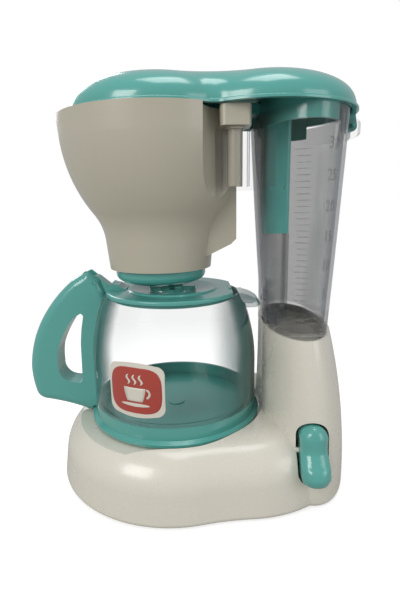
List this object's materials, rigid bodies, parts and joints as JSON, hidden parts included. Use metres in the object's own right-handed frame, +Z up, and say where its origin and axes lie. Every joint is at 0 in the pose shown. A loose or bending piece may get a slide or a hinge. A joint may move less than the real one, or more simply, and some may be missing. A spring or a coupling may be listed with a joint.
{
  "type": "toy coffee maker",
  "caption": "Toy filter coffee maker with clear water tank, swinging filter basket, hinged two-lobed lid, rocker switch and a clear jug with a hinged lid.",
  "frame": {"origin": "middle of the outline seen from above, at the floor; the jug's upright axis stands at x = -0.008 m", "axes": "+Z up, +X from the jug to the water tank, -Y to the side with the switch"},
  "size_m": [0.2012, 0.1462, 0.2359],
  "materials": {
    "shell_white": "gloss",
    "cream": "gloss",
    "teal": "gloss",
    "clear": "clear",
    "sticker_red": "satin",
    "steel": "satin",
    "cell_steel": "satin",
    "pump_grey": "matt",
    "hose": "satin",
    "foot_rubber": "matt"
  },
  "bodies": {
    "base": {"base_housing": "shell_white", "base_cover": "shell_white", "battery_door": "shell_white", "rubber_feet": "foot_rubber", "base_screws": "steel", "battery_cells": "cell_steel", "water_pump": "pump_grey", "pump_hose": "hose", "switch_pin": "steel", "water_tank": "clear", "riser_channel": "teal", "spray_arm": "teal", "basket_pin": "cream", "lid_hinge_pin": "steel"},
    "lid": {"top_lid": "teal"},
    "basket": {"filter_basket": "cream", "drip_cup": "teal"},
    "jug": {"jug_base": "teal", "jug_body": "clear", "jug_handle": "teal", "jug_lid_pin": "steel", "jug_sticker": "sticker_red"},
    "jug_cover": {"jug_lid": "teal"},
    "switch": {"rocker_switch": "teal"}
  },
  "joints": [
    {"name": "lid_hinge", "type": "hinge", "parent": "base", "child": "lid", "pos_m": [0.097, 0, 0.2088], "axis": [0, 1, 0], "range_deg": [0, 95]},
    {"name": "basket_swing", "type": "hinge", "parent": "base", "child": "basket", "pos_m": [0.0282, -0.0335, 0.2], "axis": [0, 0, 1], "range_deg": [0, 90]},
    {"name": "jug_slide", "type": "slide", "parent": "base", "child": "jug", "axis": [-1, 0, 0], "range_m": [0, 0.16]},
    {"name": "jug_lid_hinge", "type": "hinge", "parent": "jug", "child": "jug_cover", "pos_m": [-0.0555, 0, 0.121], "axis": [0, -1, 0], "range_deg": [0, 0.8]},
    {"name": "switch_rock", "type": "hinge", "parent": "base", "child": "switch", "pos_m": [0.0695, -0.0505, 0.0325], "axis": [1, 0, 0], "range_deg": [0, 10]}
  ]
}
